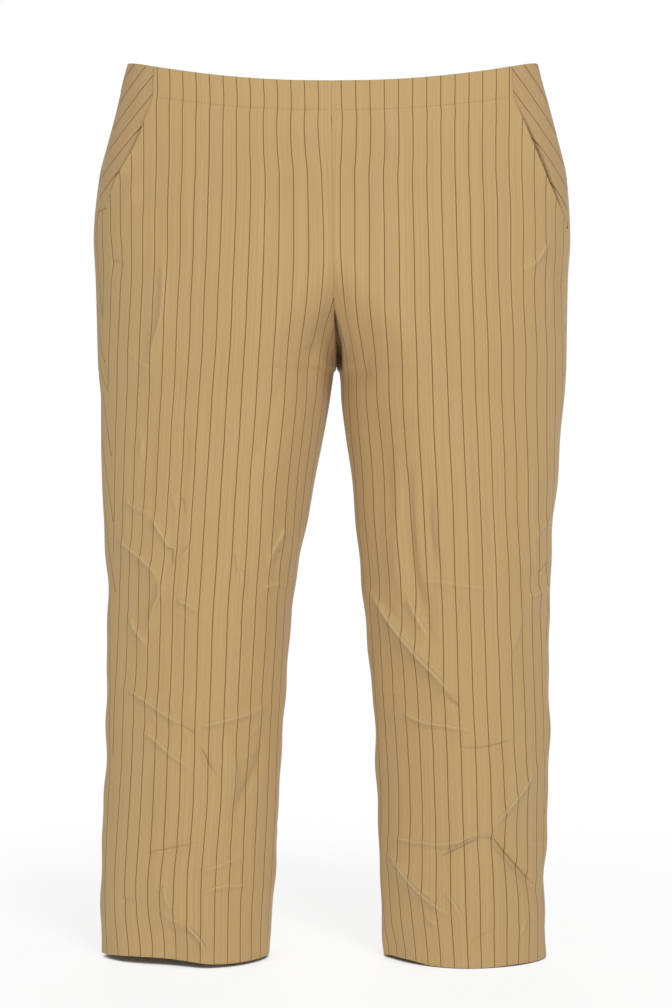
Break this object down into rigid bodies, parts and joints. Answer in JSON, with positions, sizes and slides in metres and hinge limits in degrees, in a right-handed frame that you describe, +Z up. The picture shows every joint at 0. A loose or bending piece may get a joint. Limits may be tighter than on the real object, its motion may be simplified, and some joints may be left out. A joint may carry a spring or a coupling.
{
  "type": "pull-on striped trousers",
  "caption": "High-waisted pull-on trousers with straight cropped legs and slanted hip pockets, filled out as worn, in pinstriped cloth.",
  "frame": {"origin": "middle of the waist opening, level with the tops of the side seams", "axes": "+Z up from hem to waist, -Y the wearer's front, +X the wearer's left"},
  "size_m": [0.4997, 0.2329, 0.9351],
  "materials": {
    "striped_cloth": "smooth plain weave, slight sheen, dark brown pinstripes about 15 mm apart along the grain"
  },
  "bodies": {
    "root": {"front_right": "striped_cloth", "front_left": "striped_cloth", "back_right": "striped_cloth", "back_left": "striped_cloth", "hip_facing_right": "striped_cloth", "hip_facing_left": "striped_cloth"}
  },
  "joints": []
}
